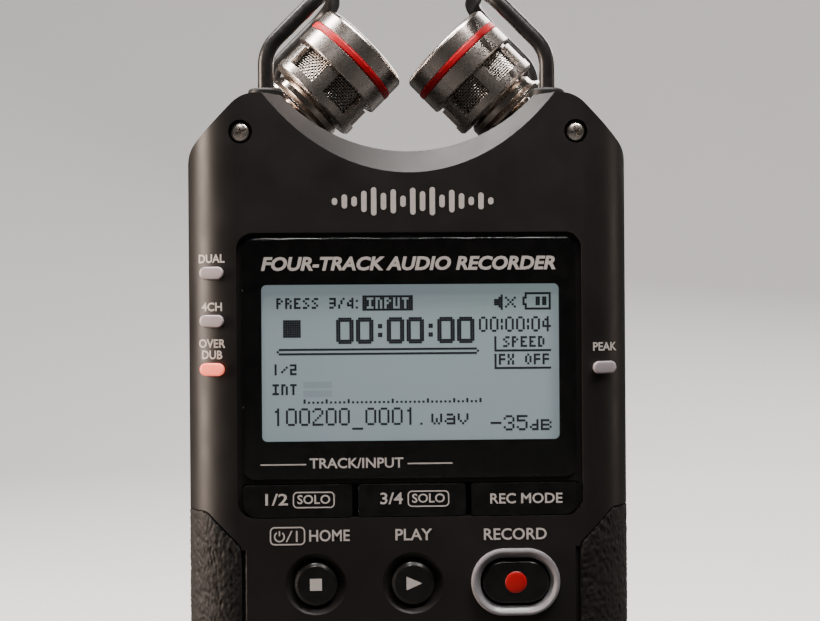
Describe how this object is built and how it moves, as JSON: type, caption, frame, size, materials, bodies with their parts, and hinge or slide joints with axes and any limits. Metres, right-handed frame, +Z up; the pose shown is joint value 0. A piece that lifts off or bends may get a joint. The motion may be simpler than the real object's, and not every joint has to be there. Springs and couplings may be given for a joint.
{
  "type": "portable field recorder",
  "caption": "Handheld audio recorder with swivelling stereo microphones between bent guard bars, a display, transport keys, a direction pad, rubber grips and plug inputs in the base.",
  "frame": {"origin": "centre of the base, midway between the front and back faces", "axes": "+Z up the long axis towards the microphones, -Y out of the front face, +X to the right of a person facing the front"},
  "size_m": [0.0708, 0.035, 0.155],
  "materials": {
    "case": "fine matt moulding texture",
    "frame": "matt",
    "guard_steel": "satin dark coating",
    "nickel": "warm bright nickel",
    "mesh_steel": "woven wire",
    "accent": "red satin",
    "capsule_metal": "matt",
    "steel": "machined",
    "window": "polished",
    "lcd": "reflective display with soft backlight",
    "key_gloss": "polished",
    "ring_translucent": "translucent",
    "lens": "translucent",
    "grip_rubber": "grained",
    "board": "solder mask",
    "jack": "satin",
    "cell": "printed sleeve",
    "card": "satin",
    "brass": "turned"
  },
  "bodies": {
    "body": {"front_case": "case", "rear_case": "case", "mic_block": "frame", "guard_left": "guard_steel", "guard_right": "guard_steel", "hinge_pins": "steel", "top_screws": "nickel", "rear_screws": "steel", "display_window": "window", "lcd_module": "lcd", "record_ring": "ring_translucent", "indicator_lenses": "lens", "grip_left": "grip_rubber", "grip_right": "grip_rubber", "main_board": "board", "input_jacks": "jack", "batteries": "cell", "battery_contacts": "steel", "card_socket": "steel", "small_jacks": "jack", "usb_port": "steel", "speaker": "jack", "tripod_insert": "brass", "strap_bar": "steel"},
    "microphone_left": {"swivel_left": "nickel", "mic_body_left": "nickel", "mic_mesh_left": "mesh_steel", "accent_ring_left": "accent", "mic_tip_left": "nickel", "capsule_left": "capsule_metal"},
    "microphone_right": {"swivel_right": "nickel", "mic_body_right": "nickel", "mic_mesh_right": "mesh_steel", "accent_ring_right": "accent", "mic_tip_right": "nickel", "capsule_right": "capsule_metal"},
    "track_key_a_body": {"track_key_a": "key_gloss"},
    "track_key_b_body": {"track_key_b": "key_gloss"},
    "mode_key_body": {"mode_key": "key_gloss"},
    "stop_button_body": {"stop_button": "key_gloss"},
    "play_button_body": {"play_button": "key_gloss"},
    "record_button_body": {"record_button": "key_gloss"},
    "nav_up_body": {"nav_up": "key_gloss"},
    "nav_down_body": {"nav_down": "key_gloss"},
    "nav_left_body": {"nav_left": "key_gloss"},
    "nav_right_body": {"nav_right": "key_gloss"},
    "enter_button_body": {"enter_button": "key_gloss"},
    "menu_key_body": {"menu_key": "key_gloss"},
    "quick_key_body": {"quick_key": "key_gloss"},
    "mixer_key_body": {"mixer_key": "key_gloss"},
    "playback_key_body": {"playback_key": "key_gloss"},
    "volume_rocker_body": {"volume_rocker": "key_gloss"},
    "level_rocker_body": {"level_rocker": "key_gloss"},
    "hold_switch_body": {"hold_switch": "jack"},
    "input_switch_body": {"input_switch": "jack"},
    "card_door_body": {"card_door": "grip_rubber"},
    "memory_card_body": {"memory_card": "card"},
    "battery_cover_body": {"battery_cover": "case"},
    "latch_left_body": {"latch_left": "steel"},
    "latch_right_body": {"latch_right": "steel"}
  },
  "joints": [
    {"name": "mic_left_swing", "type": "hinge", "parent": "body", "child": "microphone_left", "pos_m": [-0.0226, 0, 0.1294], "axis": [0, -1, 0], "range_deg": [0, 90]},
    {"name": "mic_right_swing", "type": "hinge", "parent": "body", "child": "microphone_right", "pos_m": [0.0226, 0, 0.1294], "axis": [0, 1, 0], "range_deg": [0, 90]},
    {"name": "track_key_a_press", "type": "slide", "parent": "body", "child": "track_key_a_body", "axis": [0, 1, 0], "range_m": [0, 0.0004], "stiffness_N_per_m": 800, "springref_m": -0.0005},
    {"name": "track_key_b_press", "type": "slide", "parent": "body", "child": "track_key_b_body", "axis": [0, 1, 0], "range_m": [0, 0.0004], "stiffness_N_per_m": 800, "springref_m": -0.0005},
    {"name": "mode_key_press", "type": "slide", "parent": "body", "child": "mode_key_body", "axis": [0, 1, 0], "range_m": [0, 0.0004], "stiffness_N_per_m": 800, "springref_m": -0.0005},
    {"name": "stop_button_press", "type": "slide", "parent": "body", "child": "stop_button_body", "axis": [0, 1, 0], "range_m": [0, 0.0004], "stiffness_N_per_m": 800, "springref_m": -0.0005},
    {"name": "play_button_press", "type": "slide", "parent": "body", "child": "play_button_body", "axis": [0, 1, 0], "range_m": [0, 0.0004], "stiffness_N_per_m": 800, "springref_m": -0.0005},
    {"name": "record_button_press", "type": "slide", "parent": "body", "child": "record_button_body", "axis": [0, 1, 0], "range_m": [0, 0.0004], "stiffness_N_per_m": 800, "springref_m": -0.0005},
    {"name": "nav_up_press", "type": "slide", "parent": "body", "child": "nav_up_body", "axis": [0, 1, 0], "range_m": [0, 0.0004], "stiffness_N_per_m": 800, "springref_m": -0.0005},
    {"name": "nav_down_press", "type": "slide", "parent": "body", "child": "nav_down_body", "axis": [0, 1, 0], "range_m": [0, 0.0004], "stiffness_N_per_m": 800, "springref_m": -0.0005},
    {"name": "nav_left_press", "type": "slide", "parent": "body", "child": "nav_left_body", "axis": [0, 1, 0], "range_m": [0, 0.0004], "stiffness_N_per_m": 800, "springref_m": -0.0005},
    {"name": "nav_right_press", "type": "slide", "parent": "body", "child": "nav_right_body", "axis": [0, 1, 0], "range_m": [0, 0.0004], "stiffness_N_per_m": 800, "springref_m": -0.0005},
    {"name": "enter_button_press", "type": "slide", "parent": "body", "child": "enter_button_body", "axis": [0, 1, 0], "range_m": [0, 0.0004], "stiffness_N_per_m": 800, "springref_m": -0.0005},
    {"name": "menu_key_press", "type": "slide", "parent": "body", "child": "menu_key_body", "axis": [0, 1, 0], "range_m": [0, 0.0004], "stiffness_N_per_m": 800, "springref_m": -0.0005},
    {"name": "quick_key_press", "type": "slide", "parent": "body", "child": "quick_key_body", "axis": [0, 1, 0], "range_m": [0, 0.0004], "stiffness_N_per_m": 800, "springref_m": -0.0005},
    {"name": "mixer_key_press", "type": "slide", "parent": "body", "child": "mixer_key_body", "axis": [0, 1, 0], "range_m": [0, 0.0004], "stiffness_N_per_m": 800, "springref_m": -0.0005},
    {"name": "playback_key_press", "type": "slide", "parent": "body", "child": "playback_key_body", "axis": [0, 1, 0], "range_m": [0, 0.0004], "stiffness_N_per_m": 800, "springref_m": -0.0005},
    {"name": "volume_rocker_tilt", "type": "hinge", "parent": "body", "child": "volume_rocker_body", "pos_m": [-0.0316, 0.0045, 0.085], "axis": [0, 1, 0], "range_deg": [-2.5, 2.5]},
    {"name": "level_rocker_tilt", "type": "hinge", "parent": "body", "child": "level_rocker_body", "pos_m": [0.0316, 0.0045, 0.088], "axis": [0, 1, 0], "range_deg": [-2.5, 2.5]},
    {"name": "hold_slide", "type": "slide", "parent": "body", "child": "hold_switch_body", "axis": [0, 0, 1], "range_m": [0, 0.004]},
    {"name": "input_slide", "type": "slide", "parent": "body", "child": "input_switch_body", "axis": [0, 0, 1], "range_m": [-0.002, 0.002]},
    {"name": "card_door_hinge", "type": "hinge", "parent": "body", "child": "card_door_body", "pos_m": [0.0344, -0.0031, 0.0868], "axis": [0, 0, 1], "range_deg": [0, 90]},
    {"name": "card_push", "type": "slide", "parent": "body", "child": "memory_card_body", "axis": [1, 0, 0], "range_m": [-0.0008, 0]},
    {"name": "battery_cover_hinge", "type": "hinge", "parent": "body", "child": "battery_cover_body", "pos_m": [0, 0.01635, 0.0962], "axis": [1, 0, 0], "range_deg": [0, 90]},
    {"name": "latch_left_press", "type": "slide", "parent": "body", "child": "latch_left_body", "axis": [0, 0, 1], "range_m": [0, 0.0012]},
    {"name": "latch_right_press", "type": "slide", "parent": "body", "child": "latch_right_body", "axis": [0, 0, 1], "range_m": [0, 0.0012]}
  ]
}
